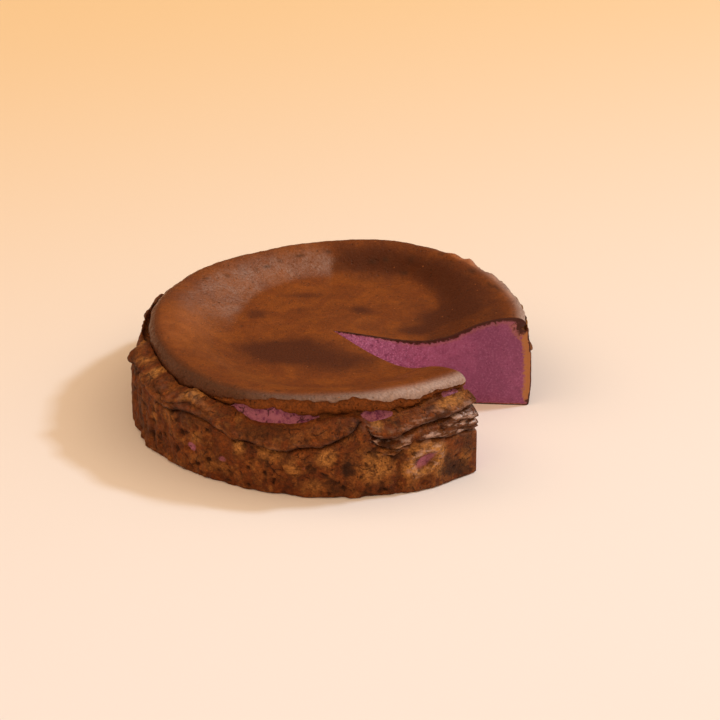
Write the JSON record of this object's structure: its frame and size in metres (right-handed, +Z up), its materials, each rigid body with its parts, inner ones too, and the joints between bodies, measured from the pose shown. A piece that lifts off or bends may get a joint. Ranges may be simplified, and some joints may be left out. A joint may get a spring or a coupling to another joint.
{
  "type": "cheesecake",
  "caption": "Round, dark-baked purple yam cheesecake with a sunken top, a raised rim, a creased side and a wedge cut out, showing the custard inside.",
  "frame": {"origin": "middle of the cake at its base, on the line where the two cut faces meet", "axes": "+Z up from the surface the cake stands on, -Y towards the front, +X to the right, with the missing wedge at the front right"},
  "size_m": [0.1886, 0.203, 0.0475],
  "materials": {
    "cheesecake": "dark caramelised baked skin, satin, over smooth purple custard"
  },
  "bodies": {
    "root": {"cheesecake": "cheesecake"}
  },
  "joints": []
}
